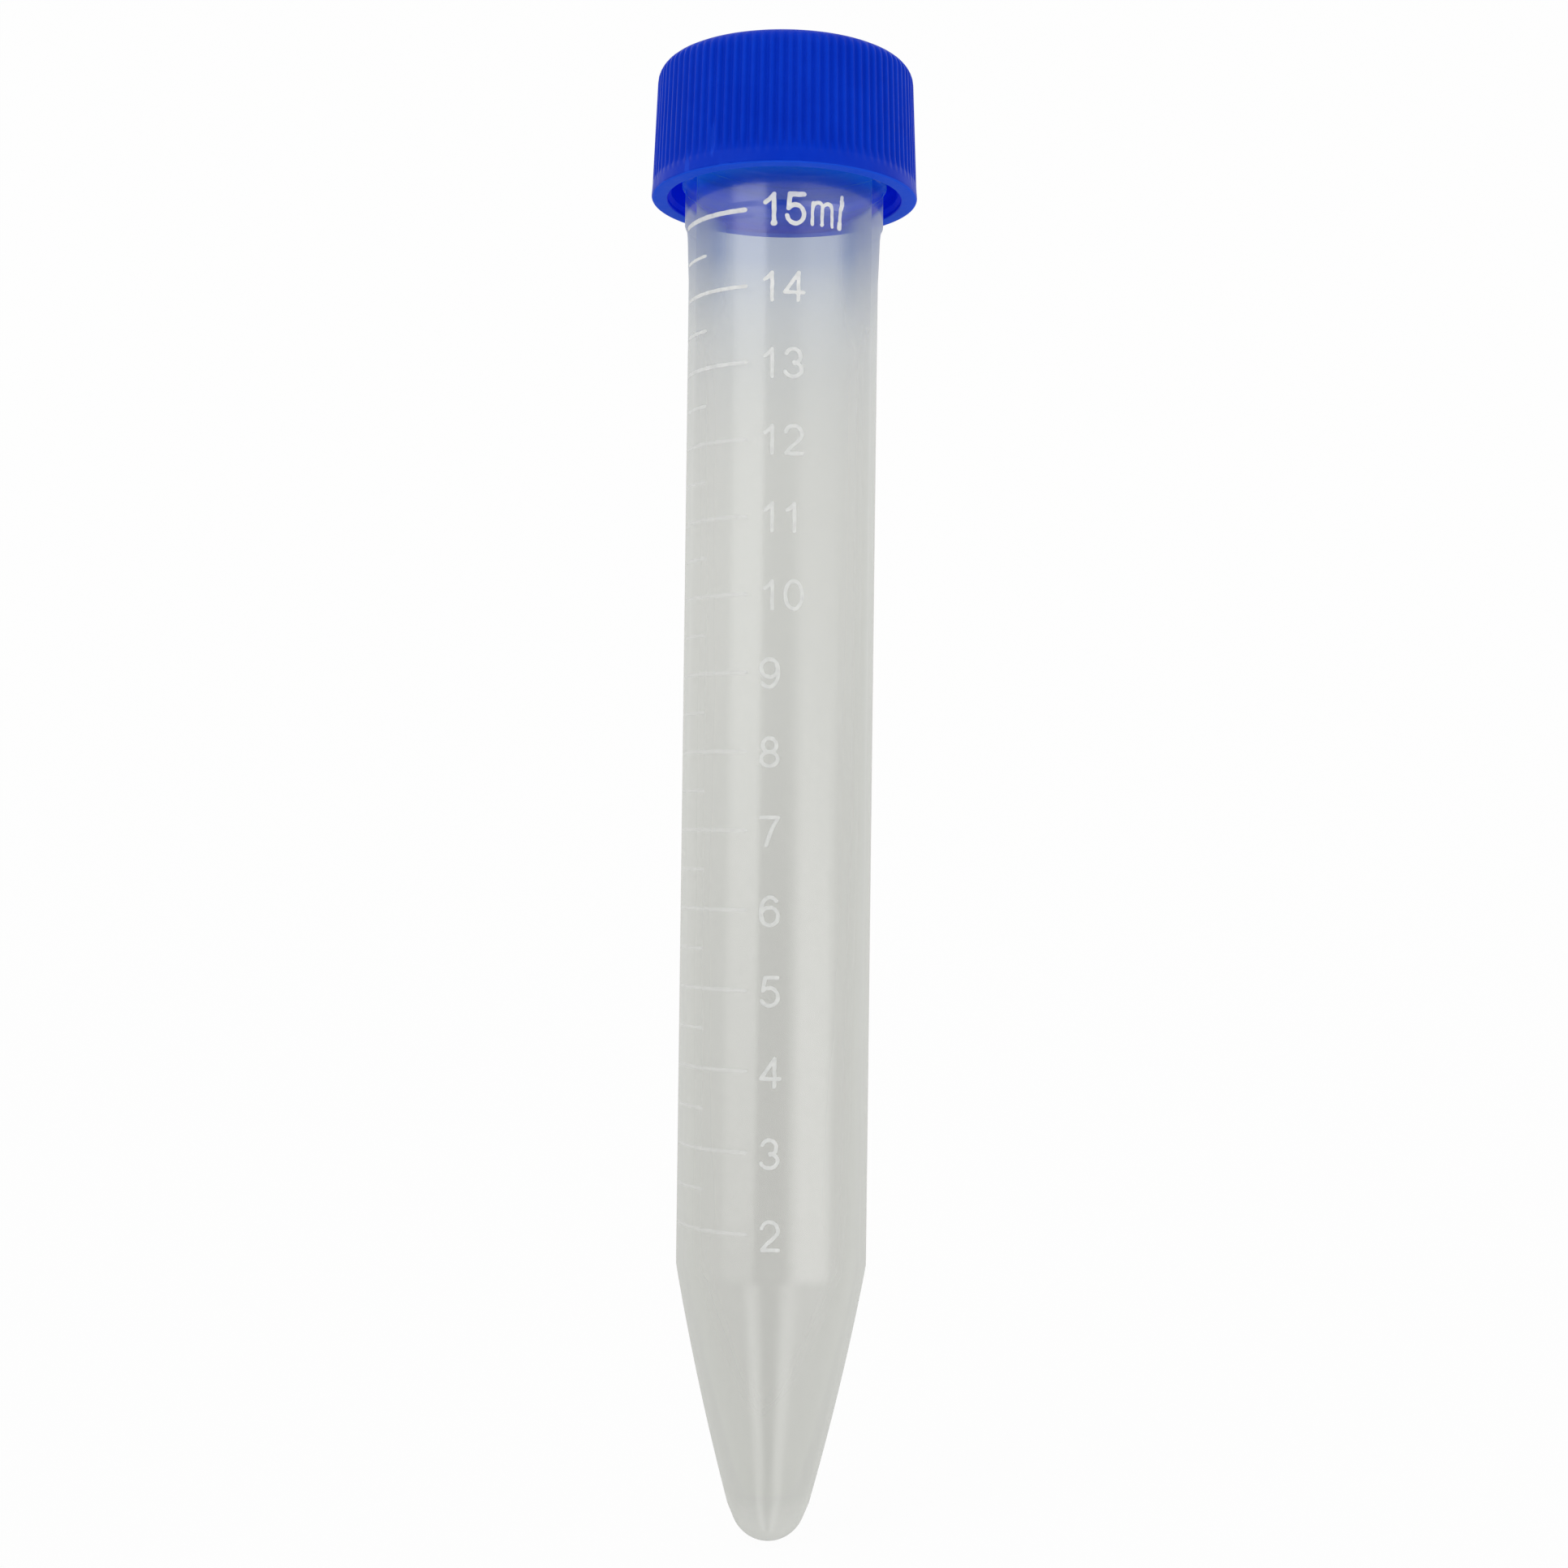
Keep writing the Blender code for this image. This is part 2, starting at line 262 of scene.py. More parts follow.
# ---------------------------------------------------------------- screw cap
RIBS, COLUMNS_PER_RIB, RIB_DEPTH = 90, 6, 0.21
BAND_TOP = CAP_BOTTOM + 1.15           # plain band below the ribs
TOP_R, TOP_FILLET = 10.52, 1.50
BORE_R, LIP_R, CEILING = 9.35, 9.67, CAP_TOP - 1.2
SNAP, SNAP_R = MOUTH - 0.1, 8.88       # inward ring at the tube's mouth
CAP_THREAD_TOP = CAP_THREAD_FROM + LEAD * THREAD_TURNS
CAP_THREAD_ANGLE = THREAD_ANGLE + 360.0 * (CAP_THREAD_FROM - (THREAD_FROM - 0.5 * LEAD)) / LEAD
CAP_THREAD_DEPTH = 0.72

# (radius, z, fillet): from the dimple in the top, down the outside and up the bore
cap_points = rounded([
    (0.0, CAP_TOP - 0.14, 0), (0.55, CAP_TOP - 0.14, 0.1), (0.85, CAP_TOP, 0.2),
    (3.0, CAP_TOP, 0), (6.0, CAP_TOP, 0), (TOP_R, CAP_TOP, TOP_FILLET),
    (10.91, BAND_TOP, 0), (CAP_R, CAP_BOTTOM, 0.2), (LIP_R, CAP_BOTTOM, 0.12),
    (LIP_R, CAP_BOTTOM + 0.3, 0.05), (BORE_R, CAP_BOTTOM + 0.6, 0.1),
    (BORE_R, SNAP - 0.45, 0.1), (SNAP_R, SNAP - 0.1, 0.1),
    (SNAP_R, SNAP + 0.05, 0.1), (BORE_R, SNAP + 0.3, 0.05),
    (BORE_R, CEILING, 0.3), (4.0, CEILING, 0), (0.0, CEILING, 0)], 8)
bottom_row = next(i for i, point in enumerate(cap_points) if point[1] <= CAP_BOTTOM + 1e-6)
cap_outer = refine(cap_points[:bottom_row + 1],
                   lambda z: 0.14 if BAND_TOP - 0.3 < z < BAND_TOP + 0.6 else 0.9)
cap_inner = refine(cap_points[bottom_row:],
                   lambda z: 0.18 if CAP_THREAD_FROM - 1.0 < z < CAP_THREAD_TOP + 1.0 else 0.9)


def cap_offset(i, radius, z, angles):
    """Ribs round the outside and the thread in the bore."""
    if i < len(cap_outer):
        if radius < TOP_R - TOP_FILLET + 0.2:
            return 0.0
        upper_end = 1.0 - smoothstep(CAP_TOP - 1.15, CAP_TOP - 0.35, z)
        run = smoothstep(BAND_TOP - 0.02, BAND_TOP + 0.32, z) * upper_end
        wave = 0.5 + 0.5 * np.cos(angles * RIBS)
        rib = smoothstep(0.08, 0.80, wave)                 # rounded ribs, narrower valleys
        return -RIB_DEPTH * run * (1.0 - rib)
    if radius < BORE_R - 0.03 or radius > BORE_R + 0.03:
        return 0.0
    height = thread_height(z, angles, CAP_THREAD_FROM, CAP_THREAD_ANGLE,
                           half_width=0.80, crest=0.20)
    return -CAP_THREAD_DEPTH * height * smoothstep(CAP_BOTTOM + 0.6, CAP_BOTTOM + 1.0, z)


cap = turned("ribbed_cap", cap_outer + cap_inner[1:], RIBS * COLUMNS_PER_RIB, cap_offset, 60.0)
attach(cap, "cap")
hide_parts("screw_cap")

# ---------------------------------------------------------------- liner
# (radius, z, fillet): a disc with a shallow groove underneath, near its edge
GROOVE = LINER_BOTTOM + 0.10
liner_points = rounded([
    (0.0, LINER_BOTTOM, 0), (7.05, LINER_BOTTOM, 0.2), (7.35, GROOVE, 0.3), (7.85, GROOVE, 0.3),
    (8.15, LINER_BOTTOM, 0.2), (LINER_R, LINER_BOTTOM, 0.14), (LINER_R, LINER_TOP, 0.14),
    (0.0, LINER_TOP, 0)], 4)
liner = turned("cap_liner", refine(liner_points, 1.0), 160)
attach(liner, "cap_carrier")
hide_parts("seal_liner")

# ---------------------------------------------------------------- printed scale
# Marks are drawn flat: x is the distance round the wall from its front (-y) towards +x.
SKEW = -0.0128                         # the print runs a little askew to the tube's axis
MIDDLE = TIP + 62.0
TICK_LEFT, MAJOR_RIGHT, MINOR_RIGHT = -10.7, -2.52, -6.65
FULL_THICK, MAJOR_THICK, MINOR_THICK = 0.37, 0.29, 0.25
ONE_DIGIT_LEFT, TWO_DIGITS_LEFT = -1.44, -1.10
DIGIT_HEIGHT, DIGIT_STROKE, DIGIT_DROP = 2.56, 0.325, 0.06
INK_LIFT, INK_THICKNESS = 0.004, 0.018
FULL = 15                              # millilitres at the top mark

# each mark stands where the cavity below it holds its volume
levels = np.linspace(FLOOR, BARREL_TOP + 8.0, 6000)
radii = np.interp(levels, [z for _, z in cavity], [radius for radius, _ in cavity])
slices = math.pi * (0.5 * (radii[1:] + radii[:-1])) ** 2 * np.diff(levels)
millilitres = np.concatenate([[0.0], np.cumsum(slices)]) / 1000.0


def mark_height(volume):
    return float(np.interp(volume, millilitres, levels))


def drift(z):
    return SKEW * (z - MIDDLE)


def stroke_distance(x, z, line):
    """Distance from each grid point to a run of straight pieces."""
    nearest = np.full(x.shape, 1e9)
    for (x0, z0), (x1, z1) in zip(line[:-1], line[1:]):
        dx, dz = x1 - x0, z1 - z0
        t = np.clip(((x - x0) * dx + (z - z0) * dz) / (dx * dx + dz * dz + 1e-12), 0.0, 1.0)
        nearest = np.minimum(nearest, np.hypot(x - x0 - t * dx, z - z0 - t * dz))
    return nearest


def wobble(x, z, seed, amount):
    """The slightly uneven edge of printed ink."""
    broad = np.sin(5.1 * x + 3.7 * seed) * np.cos(4.3 * z + 1.9 * seed)
    return amount * (broad + 0.6 * np.sin(11.3 * x - 9.1 * z + seed))


ink_points, ink_faces = [], []


def cut_ink(inside, left, right, bottom, top, step_x, step_z):
    """Keeps the part of a rectangle where inside(x, z) > 0, with edges at the zero line."""
    columns = max(2, int(math.ceil((right - left) / step_x)))
    rows = max(2, int(math.ceil((top - bottom) / step_z)))
    grid_x, grid_z = np.meshgrid(np.linspace(left, right, columns + 1),
                                 np.linspace(bottom, top, rows + 1), indexing="ij")
    depth = inside(grid_x, grid_z)
    depth = np.where(np.abs(depth) < 1e-5, 1e-5, depth)
    index = {}

    def point(key, x, z):
        if key not in index:
            index[key] = len(ink_points)
            ink_points.append((x, z))
        return index[key]

    for i in range(columns):
        for j in range(rows):
            cell = [(i, j), (i + 1, j), (i + 1, j + 1), (i, j + 1)]
            polygon = []
            for here, there in zip(cell, cell[1:] + cell[:1]):
                x, z = grid_x[here], grid_z[here]
                if depth[here] > 0:
                    polygon.append(point(here, x, z))
                if (depth[here] > 0) != (depth[there] > 0):
                    t = depth[here] / (depth[here] - depth[there])
                    polygon.append(point(tuple(sorted((here, there))),
                                         x + (grid_x[there] - x) * t, z + (grid_z[there] - z) * t))
            if polygon:
                ink_faces.append(polygon)


def tick(volume, right, thick, seed):
    z_mid = mark_height(volume)
    right = right + drift(z_mid)

    def inside(x, z):
        distance = stroke_distance(x, z, [(TICK_LEFT, z_mid), (right, z_mid)])
        return 0.5 * thick + wobble(x, z, seed, 0.012) - distance

    cut_ink(inside, TICK_LEFT - 0.3, right + 0.3, z_mid - 0.26, z_mid + 0.26, 0.20, 0.052)


def letter(strokes, x_from, z_from, scale, seed):
    """Cuts one letter; strokes are (centre line, width) pairs, the line scaled and moved."""
    strokes = [([(x_from + x * scale, z_from + z * scale) for x, z in line], width)
               for line, width in strokes]
    every_x = [x for line, _ in strokes for x, z in line]
    every_z = [z for line, _ in strokes for x, z in line]

    def inside(x, z):
        best = np.full(x.shape, -1e9)
        for line, width in strokes:
            best = np.maximum(best, 0.5 * width - 0.015 - stroke_distance(x, z, line))
        return best + wobble(x, z, seed, 0.014)

    cut_ink(inside, min(every_x) - 0.35, max(every_x) + 0.35,
            min(every_z) - 0.35, max(every_z) + 0.35, 0.065, 0.065)


# centre lines (x, z) of plain round-ended numerals, 1 high
DIGITS = {
    "0": [arc(0.34, 0.5, 0.265, 0.43, 0, 360, 36)],
    "1": [[(0.29, 0.07), (0.29, 0.92)], [(0.29, 0.92), (0.22, 0.83), (0.14, 0.76), (0.06, 0.71)]],
    "2": [arc(0.34, 0.675, 0.255, 0.255, 168, -32, 22) + [(0.44, 0.42), (0.25, 0.26), (0.10, 0.07)],
          [(0.10, 0.07), (0.61, 0.07)]],
    "3": [arc(0.325, 0.70, 0.225, 0.23, 160, -80, 20), arc(0.325, 0.29, 0.265, 0.22, 85, -160, 22)],
    "4": [[(0.49, 0.07), (0.49, 0.93)], [(0.49, 0.93), (0.07, 0.31)], [(0.07, 0.31), (0.65, 0.31)]],
    "5": [[(0.58, 0.93), (0.20, 0.93), (0.13, 0.52)],
          [(0.13, 0.52)] + arc(0.335, 0.345, 0.265, 0.275, 140, -152, 24)],
    "6": [arc(0.355, 0.50, 0.285, 0.43, 48, 215, 22), arc(0.34, 0.345, 0.265, 0.275, 0, 360, 30)],
    "7": [[(0.07, 0.93), (0.61, 0.93)],
          [(0.61, 0.93), (0.47, 0.70), (0.36, 0.46), (0.29, 0.24), (0.25, 0.07)]],
    "8": [arc(0.34, 0.715, 0.21, 0.215, 0, 360, 28), arc(0.34, 0.285, 0.255, 0.22, 0, 360, 28)],
}
DIGIT_WIDTH = 0.68
ODD_WIDTHS = {"1": 0.42, "4": 0.70}
DIGITS["9"] = [[(DIGIT_WIDTH - x, 1.0 - z) for x, z in line] for line in DIGITS["6"]]

# the heavier 15 and ml of the full volume, thick where the ink has spread:
# (centre line, width) strokes in millimetres from the front of the mark
FULL_LABEL = [
    [([(-0.18, 1.08), (-0.19, -1.12)], 0.39), ([(-0.20, 1.06), (-0.52, 0.68), (-0.86, 0.46)], 0.36),
     ([(-0.15, -1.13), (-0.22, -1.13)], 0.50)],
    [([(2.10, 1.12), (1.05, 1.12), (0.94, 0.04)], 0.40), ([(1.90, 1.10), (1.10, 1.06)], 0.43),
     ([(0.94, 0.04)] + arc(1.50, -0.43, 0.67, 0.73, 142, -170, 26), 0.37)],
    [([(2.84, 0.50), (2.84, -1.14)], 0.30),
     (arc(3.25, 0.17, 0.40, 0.40, 180, 0, 14) + [(3.65, -1.14)], 0.31),
     (arc(4.06, 0.13, 0.41, 0.41, 180, 0, 14) + [(4.54, -1.16)], 0.30),
     ([(3.62, -1.10), (3.68, -1.10)], 0.33)],
    [([(5.26, 1.26), (5.24, -1.18)], 0.32), ([(5.26, 0.88), (5.26, 0.35)], 0.42),
     ([(5.21, -0.80), (5.21, -1.16)], 0.45)]]


def number_label(volume, z):
    text = str(volume)
    x = (TWO_DIGITS_LEFT if volume >= 10 else ONE_DIGIT_LEFT) + drift(z)
    bottom = z - DIGIT_DROP - 0.5 * DIGIT_HEIGHT
    for n, digit in enumerate(text):
        strokes = [(line, DIGIT_STROKE) for line in DIGITS[digit]]
        letter(strokes, x, bottom, DIGIT_HEIGHT, seed=volume + 3 * n)
        space = 0.27 if text[n:n + 2] == "11" else 0.20 if digit == "1" else 0.13
        x += (ODD_WIDTHS.get(digit, DIGIT_WIDTH) + space) * DIGIT_HEIGHT


def ink_object(name):
    """Lays the flat marks on the wall as one thin layer."""
    points = []
    for x, z in ink_points:
        wall_radius = np.interp(z, [p[1] for p in wall_curve], [p[0] for p in wall_curve])
        radius = float(wall_radius) + INK_LIFT
        angle = x / BARREL_TOP_R
        points.append((radius * math.sin(angle) * MM, -radius * math.cos(angle) * MM, z * MM))
    mesh = bpy.data.meshes.new(name)
    mesh.from_pydata(points, [], ink_faces)
    bm = bmesh.new()
    bm.from_mesh(mesh)
    bmesh.ops.dissolve_degenerate(bm, dist=1e-7, edges=bm.edges)
    for face in bm.faces:
        centre = face.calc_center_median()
        if face.normal.dot(Vector((centre.x, centre.y, 0.0))) < 0:
            face.normal_flip()
    bm.to_mesh(mesh)
    bm.free()
    mesh.shade_smooth()
    obj = link_object(name, mesh)
    solid = obj.modifiers.new("ink_thickness", 'SOLIDIFY')
    solid.thickness = INK_THICKNESS * MM
    solid.offset = 1.0
    return obj


for ml in range(2, FULL + 1):
    tick(ml, MAJOR_RIGHT, FULL_THICK if ml == FULL else MAJOR_THICK, seed=ml)
    if ml > 2:
        tick(ml - 0.5, MINOR_RIGHT, MINOR_THICK, seed=ml + 40)
for ml in range(2, FULL):
    number_label(ml, mark_height(ml))
full_z = mark_height(FULL)
for n, strokes in enumerate(FULL_LABEL):
    letter(strokes, drift(full_z), full_z, 1.0, seed=FULL + 3 * n)
ink = ink_object("printed_scale")
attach(ink, "tube_body")


# ---------------------------------------------------------------- node helpers
class Nodes:
    """Fills one node tree. An input takes a plain value or another node's output."""

    def __init__(self, tree):
        self.tree = tree
        tree.nodes.clear()

    def add(self, kind, inputs=None, **settings):
        node = self.tree.nodes.new("ShaderNode" + kind)
        for name, value in settings.items():
            setattr(node, name, value)
        for key, value in (inputs or {}).items():
            if isinstance(value, bpy.types.NodeSocket):
                self.tree.links.new(value, node.inputs[key])
            else:
                node.inputs[key].default_value = value
        return node

    def maths(self, operation, *values):
        return self.add("Math", dict(enumerate(values)), operation=operation).outputs[0]

    def times(self, first, *others):
        for other in others:
            first = self.maths('MULTIPLY', first, other)
        return first

    def plus(self, first, second):
        return self.maths('ADD', first, second)

    def scaled(self, value, by, plus):
        return self.maths('MULTIPLY_ADD', value, by, plus)

    def one_minus(self, value):
        return self.maths('SUBTRACT', 1.0, value)

    def span(self, value, over, to=(0.0, 1.0), smooth=True):
        """value mapped from the range over to the range to, held at the ends."""
        inputs = {"Value": value, "From Min": over[0], "From Max": over[1],
                  "To Min": to[0], "To Max": to[1]}
        kind = 'SMOOTHSTEP' if smooth else 'LINEAR'
        return self.add("MapRange", inputs, interpolation_type=kind).outputs["Result"]

    def ramp(self, value, over, to):
        """A colour ramp between two greys or two colours."""
        node = self.add("ValToRGB", {"Fac": value})
        for element, position, colour in zip(node.color_ramp.elements, over, to):
            element.position = position
            element.color = (*colour, 1.0) if isinstance(colour, tuple) else (*[colour] * 3, 1.0)
        return node.outputs["Color"]

    def mix(self, factor, first, second, **settings):
        inputs = {"Factor": factor, "A": first, "B": second}
        return self.add("Mix", inputs, data_type='RGBA', **settings).outputs["Result"]

    def mix_shader(self, factor, first, second):
        return self.add("MixShader", {"Fac": factor, 1: first, 2: second}).outputs[0]

    def shader(self, kind, **inputs):
        return self.add(kind, inputs).outputs[0]

    def position(self):
        return self.add("TexCoord").outputs["Object"]

    def split(self, vector):
        return self.add("SeparateXYZ", {0: vector}).outputs

    def noise(self, vector, **inputs):
        return self.add("TexNoise", {"Vector": vector, **inputs}).outputs["Fac"]

    def squeezed(self, vector, z_scale):
        inputs = {"Vector": vector, "Scale": (1.0, 1.0, z_scale)}
        return self.add("Mapping", inputs).outputs["Vector"]

    def bump(self, height, strength, distance):
        inputs = {"Height": height, "Strength": strength, "Distance": distance}
        return self.add("Bump", inputs).outputs["Normal"]

    def level(self, vector):
        """The horizontal direction of a vector."""
        inputs = {0: vector, 1: (1.0, 1.0, 0.0)}
        flat = self.add("VectorMath", inputs, operation='MULTIPLY').outputs[0]
        return self.add("VectorMath", {0: flat}, operation='NORMALIZE').outputs[0]


def new_material(name):
    material = bpy.data.materials.new(name)
    material.use_nodes = True
    return material, Nodes(material.node_tree)


# ---------------------------------------------------------------- materials
HAZE = 0.28                            # haze per millimetre of wall seen square on, per surface
HAZE_LOW, HAZE_HIGH = (0.80, 0.81, 0.785), (0.88, 0.885, 0.865)
CLOUD_GAIN, CLOUD_BASE = 0.35, 0.82    # how the flow clouds vary the haze
STEEPEST = 0.35                        # least cosine, which limits the slanted path
FLANK_HAZE = 0.22                      # added wall on the flanks of bead and thread
PAINTED_BLUE_RATE, PAINTED_BLUE_FROM = 0.28, TIP + 107.0      # painted blue light from the cap: the tint grows with height up to here
PAINTED_BLUE_OPEN, PAINTED_BLUE_HIDDEN = (0.17, 0.40, 0.86, 1.0), (0.12, 0.34, 1.0, 1.0)
EDGE_PAINTED_BLUE_LOSS = -0.75                # slanted open wall takes less of the painted blue light
# the clear wall's colour turns blue near the cap: painted blue light
CLEAR_PLAIN, CLEAR_PAINTED_BLUE = (0.985, 0.985, 0.98, 1.0), (0.855, 0.885, 0.952, 1.0)
SHINE, GRAZING_SHINE, NECK_SHINE = 0.045, 0.30, 0.05
FAR_ROUGHNESS = 0.22                   # added roughness on the far side
PAINTED_BLUE_GLOW = 0.05                            # painted faint blue glow of the wall inside the cap's skirt, standing in for light through the cap


def tube_material():
    """Milky polypropylene: mostly see-through, hazier with wall and slant, with a soft shine."""
    material, nodes = new_material("milky_polypropylene")
    times, span = nodes.times, nodes.span
    position = nodes.position()
    height = times(nodes.split(position)["Z"], TO_MM)
    geometry = nodes.add("NewGeometry").outputs
    facing = nodes.add("LayerWeight", {"Blend": 0.5}).outputs["Facing"]

    # faint flow clouds of the moulding, fine drawn marks along the tube, and grain
    clouds = nodes.noise(nodes.squeezed(position, 0.22), Scale=110.0, Detail=3.0, Roughness=0.5)
    grain = nodes.noise(position, Scale=2600.0, Detail=2.0)
    drawn = nodes.noise(nodes.squeezed(position, 0.06), Scale=420.0, Detail=5.0, Roughness=0.65)
    colour = nodes.ramp(clouds, over=(0.3, 0.7), to=(HAZE_LOW, HAZE_HIGH))
    rough = nodes.ramp(drawn, over=(0.35, 0.75), to=(0.13, 0.24))
    relief = nodes.scaled(drawn, by=0.5, plus=grain)
    normal = nodes.bump(relief, strength=0.05, distance=0.00003)

    # thickness falls from tip to mouth, and the tip is solid
    wall = span(height, over=(TIP + 3.0, SHOULDER), to=(WALL_TIP, WALL_SHOULDER), smooth=False)
    upper = span(height, over=(SHOULDER, BARREL_TOP), to=(0.0, WALL_SHOULDER - WALL_TOP),
                 smooth=False)
    wall = nodes.maths('SUBTRACT', wall, upper)
    wall = nodes.plus(wall, span(height, over=(TIP + 1.0, TIP + 4.5), to=(3.0, 0.0)))

    # the far side, seen aslant below the cap, is milkier towards the neck
    inputs = {0: nodes.level(position), 1: nodes.level(geometry["Incoming"])}
    across = nodes.add("VectorMath", inputs, operation='DOT_PRODUCT').outputs["Value"]
    slant = span(nodes.maths('ABSOLUTE', across), over=(0.86, 0.48))
    far_side = span(across, over=(0.05, -0.15))
    open_wall = span(height, over=(CAP_BOTTOM - 0.5, CAP_BOTTOM + 0.2), to=(1.0, 0.0))
    rim_milk = times(slant, open_wall, far_side,
                     span(height, over=(TIP + 98.0, TIP + 107.5), to=(0.0, 6.0)))
    # slanted flanks of the bead and thread catch more light
    tilt = nodes.maths('ABSOLUTE', nodes.split(geometry["Normal"])["Z"])
    flank = times(span(tilt, over=(0.25, 0.85)),
                  span(height, over=(CAP_BOTTOM, CAP_BOTTOM + 0.6)))
    clearing = span(height, over=(TIP + 95.0, TIP + 106.0), to=(1.0, 0.16))
    wall = times(wall, nodes.plus(rim_milk, clearing))
    wall = nodes.scaled(flank, by=FLANK_HAZE, plus=wall)

    # painted blue light from the cap: towards the cap the haze and the clear wall are tinted blue
    near = times(nodes.maths('SUBTRACT', height, PAINTED_BLUE_FROM), PAINTED_BLUE_RATE)
    near = nodes.maths('MINIMUM', nodes.maths('EXPONENT', near), 1.0)
    hidden = span(height, over=(CAP_BOTTOM - 0.4, CAP_BOTTOM + 1.0))
    painted_blue = nodes.mix(hidden, PAINTED_BLUE_OPEN, PAINTED_BLUE_HIDDEN)
    plain_edge = nodes.scaled(times(slant, open_wall), by=EDGE_PAINTED_BLUE_LOSS, plus=1.0)
    painted_blue_haze = nodes.mix(times(near, plain_edge), colour, painted_blue, blend_type='MULTIPLY')
    passed = nodes.mix(near, CLEAR_PLAIN, CLEAR_PAINTED_BLUE)

    # haze grows with the path through the wall
    cosine = nodes.maths('MAXIMUM', nodes.one_minus(facing), STEEPEST)
    cloudy = nodes.scaled(clouds, by=CLOUD_GAIN, plus=CLOUD_BASE)
    depth = nodes.maths('DIVIDE', times(wall, -HAZE, cloudy), cosine)
    haze = nodes.one_minus(nodes.maths('EXPONENT', depth))
    milk = nodes.mix_shader(0.5, nodes.shader("BsdfDiffuse", Color=painted_blue_haze),
                            nodes.shader("BsdfTranslucent", Color=painted_blue_haze))
    body = nodes.mix_shader(haze, nodes.shader("BsdfTransparent", Color=passed), milk)

    # shine, stronger at grazing angles and near the cap, dulled on the far side of the cone
    shine = nodes.shader("BsdfGlossy", Color=(1.0, 1.0, 1.0, 1.0), Normal=normal,
                         Roughness=nodes.scaled(far_side, by=FAR_ROUGHNESS, plus=rough))
    grazing = nodes.maths('POWER', facing, 5.0)
    gloss = times(nodes.one_minus(geometry["Backfacing"]), times(near, NECK_SHINE))
    mirror = nodes.plus(nodes.scaled(grazing, by=GRAZING_SHINE, plus=SHINE),
                        times(gloss, open_wall))
    dull = times(far_side, span(height, over=(SHOULDER + 3.0, SHOULDER - 1.0), to=(0.0, 0.7)))
    mirror = times(mirror, nodes.one_minus(dull))
    # painted glow: blue emission inside the cap's skirt stands in for light through the cap
    glow = nodes.shader("Emission", Color=(0.0, 0.33, 1.0, 1.0), Strength=times(hidden, PAINTED_BLUE_GLOW))
    both = nodes.add("AddShader", {0: nodes.mix_shader(mirror, body, shine), 1: glow})
    nodes.add("OutputMaterial", {"Surface": both.outputs[0]})
    return material


CAP_LOW, CAP_HIGH = (0.0004, 0.028, 0.54), (0.0010, 0.036, 0.60)
# painted highlight on sharp edges, and painted light on faces that look down
CAP_EDGE_HIGHLIGHT, CAP_UNDER_PAINTED_LIGHT = (0.012, 0.085, 0.80, 1.0), (0.014, 0.095, 0.84, 1.0)
# painted light: brighter blue inside the skirt, as if lit through the cap's wall
CAP_BORE_PAINTED_LIGHT = (0.0003, 0.024, 0.88, 1.0)
EDGE_HIGHLIGHT_STRENGTH = 0.7                             # strength of the painted highlight on sharp edges
CAP_SHEEN, INNER_SHEEN_LOSS, BAND_SHEEN = 0.09, -0.08, 0.09


def cap_material():
    """Deep blue moulded polyethylene with a soft, coloured sheen."""
    material, nodes = new_material("moulded_blue_polyethylene")
    position = nodes.position()
    mottle = nodes.noise(position, Scale=260.0, Detail=4.0, Roughness=0.6)
    colour = nodes.ramp(mottle, over=(0.3, 0.7), to=(CAP_LOW, CAP_HIGH))
    fine = nodes.noise(position, Scale=3200.0, Detail=2.0)
    rubs = nodes.noise(nodes.squeezed(position, 0.15), Scale=900.0, Detail=4.0, Roughness=0.75)
    rough = nodes.ramp(rubs, over=(0.35, 0.70), to=(0.34, 0.50))
    relief = nodes.scaled(rubs, by=0.6, plus=fine)
    normal = nodes.bump(relief, strength=0.12, distance=0.00004)

    # painted highlight: a little paler where the surface turns sharply
    geometry = nodes.add("NewGeometry").outputs
    edge = nodes.ramp(geometry["Pointiness"], over=(0.51, 0.60), to=(0.0, 1.0))
    colour = nodes.mix(nodes.times(edge, nodes.times(mottle, EDGE_HIGHLIGHT_STRENGTH)), colour, CAP_EDGE_HIGHLIGHT)
    # painted light: paler on faces that look down, as if lit from below, and a deeper, more
    # saturated blue inside the skirt, as if lit through the cap's wall
    x, y, z = nodes.split(position)
    square = nodes.scaled(x, by=x, plus=nodes.times(y, y))
    radius = nodes.maths('SQRT', square)
    bore = nodes.span(radius, over=((LIP_R + 0.12) * MM, (LIP_R - 0.02) * MM))
    rim = nodes.span(nodes.split(geometry["Normal"])["Z"], over=(-0.35, -0.85))
    colour = nodes.mix(bore, nodes.mix(rim, colour, CAP_UNDER_PAINTED_LIGHT), CAP_BORE_PAINTED_LIGHT)

    # the plain band outside shines more, the bore and underside less
    band = nodes.span(z, over=((BAND_TOP + 0.25) * MM, (BAND_TOP - 0.05) * MM))
    sheen = nodes.scaled(nodes.maths('MAXIMUM', bore, rim), by=INNER_SHEEN_LOSS, plus=CAP_SHEEN)
    outer_band = nodes.times(band, nodes.one_minus(nodes.maths('MAXIMUM', bore, rim)))
    sheen = nodes.scaled(outer_band, by=BAND_SHEEN, plus=sheen)
    plastic = nodes.add("BsdfPrincipled", {
        "IOR": 1.5, "Specular IOR Level": CAP_SHEEN, "Specular Tint": (0.25, 0.50, 1.0, 1.0),
        "Base Color": colour, "Roughness": rough, "Normal": normal})
    nodes.tree.links.new(sheen, plastic.inputs["Specular IOR Level"])
    nodes.add("OutputMaterial", {"Surface": plastic.outputs[0]})
    return material


